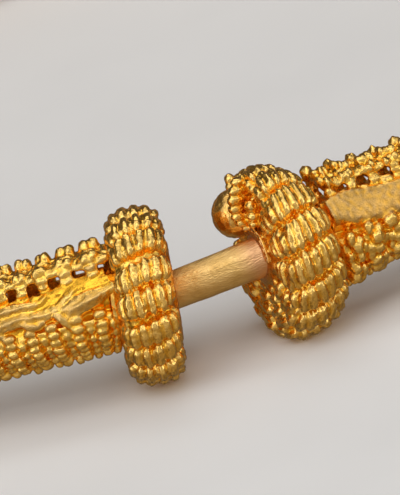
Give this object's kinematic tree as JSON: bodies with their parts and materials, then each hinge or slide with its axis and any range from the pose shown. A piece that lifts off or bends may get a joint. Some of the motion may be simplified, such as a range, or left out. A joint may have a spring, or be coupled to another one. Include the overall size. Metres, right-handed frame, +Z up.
{
  "type": "torc",
  "caption": "Gold neck torc, closed: an openwork hoop with a smooth band and knobbed garlands, its ends in lobed collars joined by a plain clasp rod.",
  "frame": {"origin": "under the middle of the ring, on the surface that the torc lies on", "axes": "+Z up from the surface, +X across the ring to the right collar's side, and the clasp towards -Y"},
  "size_m": [0.1674, 0.1612, 0.0214],
  "materials": {
    "cast_gold": "cast gold, worn bright on the knobs and the smooth band, orange in the recesses",
    "lobed_gold": "cast gold, bright ribs and orange valleys",
    "burnished_gold": "hammered and burnished gold with fine lengthwise scratches"
  },
  "bodies": {
    "root": {"hoop": "cast_gold", "left_collar": "lobed_gold", "right_collar": "lobed_gold", "clasp_rod": "burnished_gold"}
  },
  "joints": []
}
